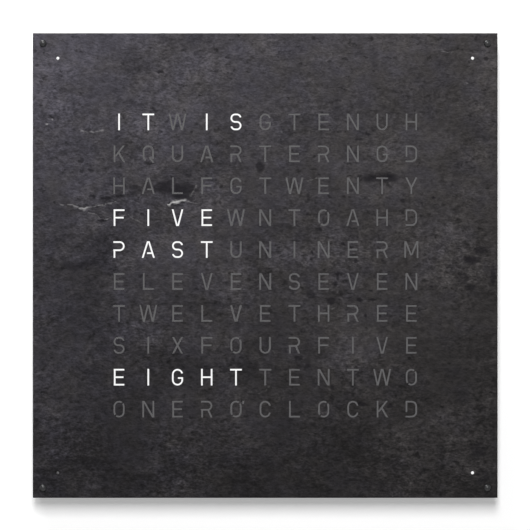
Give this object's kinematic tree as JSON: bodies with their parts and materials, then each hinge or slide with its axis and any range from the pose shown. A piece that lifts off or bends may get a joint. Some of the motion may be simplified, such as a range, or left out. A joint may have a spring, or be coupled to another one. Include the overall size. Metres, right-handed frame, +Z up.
{
  "type": "word clock",
  "caption": "Square wall clock whose slate face tells the time in lit words, with a lift-off magnetic cover, a slatted light box, edge push buttons and keyhole hangers.",
  "frame": {"origin": "the middle of the plane where the housing's back meets the wall", "axes": "+X to the viewer's right, +Y into the wall, +Z up; the face looks along -Y"},
  "size_m": [0.45, 0.026, 0.45],
  "materials": {
    "slate": "matte",
    "cover_black": "satin",
    "opal": "satin",
    "lens": "gloss",
    "steel": "satin",
    "lacquer": "satin",
    "pin_black": "gloss",
    "nickel": "polished",
    "slat_white": "matte",
    "white_board": "satin",
    "led": "gloss",
    "sensor": "gloss",
    "screw": "satin",
    "lead": "satin",
    "socket": "satin",
    "ribbon": "satin",
    "green_board": "satin",
    "chip": "matte",
    "capacitor": "satin",
    "brass": "polished",
    "zinc": "satin",
    "button": "satin",
    "plunger": "satin"
  },
  "bodies": {
    "housing": {"housing": "lacquer", "locating_pins": "pin_black", "magnets": "nickel", "column_slats": "slat_white", "row_slats": "slat_white", "led_board": "white_board", "letter_leds": "led", "light_sensor": "sensor", "led_board_screws": "screw", "corner_boards": "white_board", "corner_leds": "led", "corner_leads": "lead", "led_socket": "socket", "control_socket": "socket", "ribbon_cable": "ribbon", "control_board": "green_board", "control_board_screws": "screw", "microcontroller": "chip", "led_drivers": "chip", "clock_crystal": "nickel", "filter_capacitor": "capacitor", "coin_cell": "steel", "cell_holder": "socket", "power_inlet": "socket", "inlet_pin": "brass", "tact_switches": "socket", "back_cover": "cover_black", "back_cover_screws": "screw", "keyhole_hangers": "zinc", "hanger_screws": "screw"},
    "cover": {"face_plate": "slate", "cover_frame": "cover_black", "diffuser_panel": "opal", "minute_lenses": "lens", "keeper_discs": "steel"},
    "mode_key": {"mode_button": "button", "mode_plunger": "plunger"},
    "hour_key": {"hour_button": "button", "hour_plunger": "plunger"},
    "minute_key": {"minute_button": "button", "minute_plunger": "plunger"},
    "brightness_key": {"brightness_button": "button", "brightness_plunger": "plunger"}
  },
  "joints": [
    {"name": "cover_pull", "type": "slide", "parent": "housing", "child": "cover", "axis": [0, -1, 0], "range_m": [0, 0.06]},
    {"name": "mode_press", "type": "slide", "parent": "housing", "child": "mode_key", "axis": [0, 0, 1], "range_m": [0, 0.0005], "stiffness_N_per_m": 300, "springref_m": -0.001},
    {"name": "hour_press", "type": "slide", "parent": "housing", "child": "hour_key", "axis": [0, 0, 1], "range_m": [0, 0.0005], "stiffness_N_per_m": 300, "springref_m": -0.001},
    {"name": "minute_press", "type": "slide", "parent": "housing", "child": "minute_key", "axis": [0, 0, 1], "range_m": [0, 0.0005], "stiffness_N_per_m": 300, "springref_m": -0.001},
    {"name": "brightness_press", "type": "slide", "parent": "housing", "child": "brightness_key", "axis": [0, 0, 1], "range_m": [0, 0.0005], "stiffness_N_per_m": 300, "springref_m": -0.001}
  ]
}
